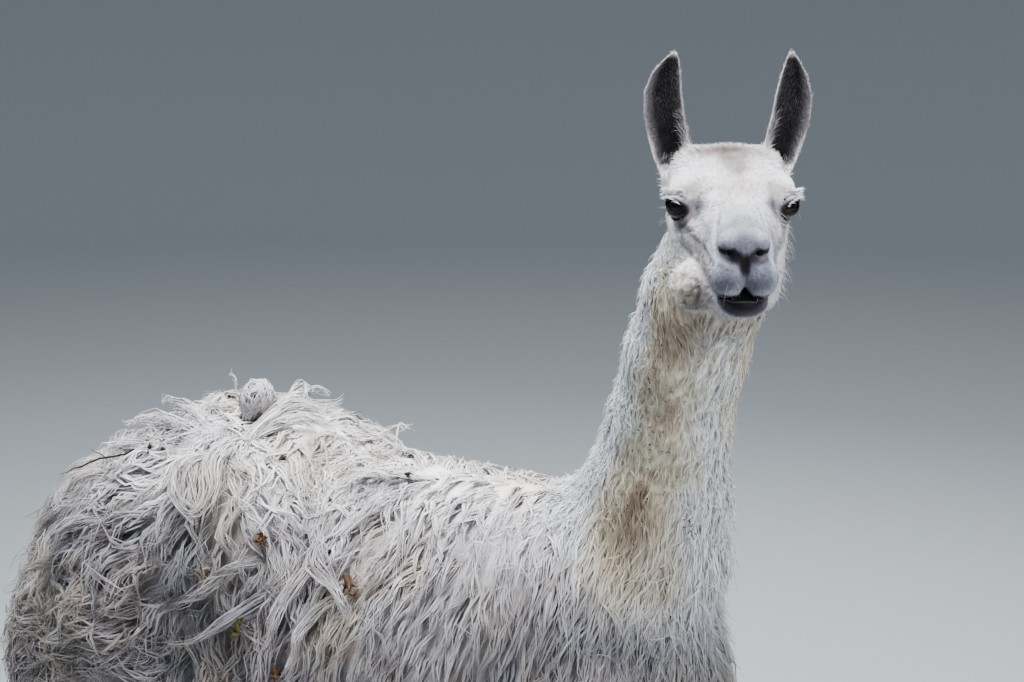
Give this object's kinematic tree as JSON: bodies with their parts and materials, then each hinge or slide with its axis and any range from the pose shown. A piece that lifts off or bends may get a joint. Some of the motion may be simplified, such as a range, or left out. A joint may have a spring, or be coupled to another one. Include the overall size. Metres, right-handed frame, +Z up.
{
  "type": "llama",
  "caption": "Standing llama, life size, with a woolly body, long upright neck, head turned to its right, banana-shaped ears and two-toed feet.",
  "frame": {"origin": "centre of the bounding box at floor level", "axes": "+Z up, the body lies along Y with the head end towards -Y, +X is the animal's left side"},
  "size_m": [0.6076, 1.3704, 1.7229],
  "materials": {
    "wool": "matted off-white wool, matte",
    "short_coat": "short white hair, matte",
    "eye": "wet dark brown, glossy",
    "toenail": "dark horn, satin"
  },
  "bodies": {
    "root": {"ear_left": "short_coat", "ear_right": "short_coat", "eye_left": "eye", "eye_right": "eye", "foot_front_left": "short_coat", "foot_front_right": "short_coat", "foot_hind_left": "short_coat", "foot_hind_right": "short_coat", "head": "short_coat", "leg_front_left": "wool", "leg_front_right": "wool", "leg_hind_left": "wool", "leg_hind_right": "wool", "nail_front_left_inner": "toenail", "nail_front_left_outer": "toenail", "nail_front_right_inner": "toenail", "nail_front_right_outer": "toenail", "nail_hind_left_inner": "toenail", "nail_hind_left_outer": "toenail", "nail_hind_right_inner": "toenail", "nail_hind_right_outer": "toenail", "neck": "wool", "tail": "wool", "trunk": "wool"}
  },
  "joints": []
}
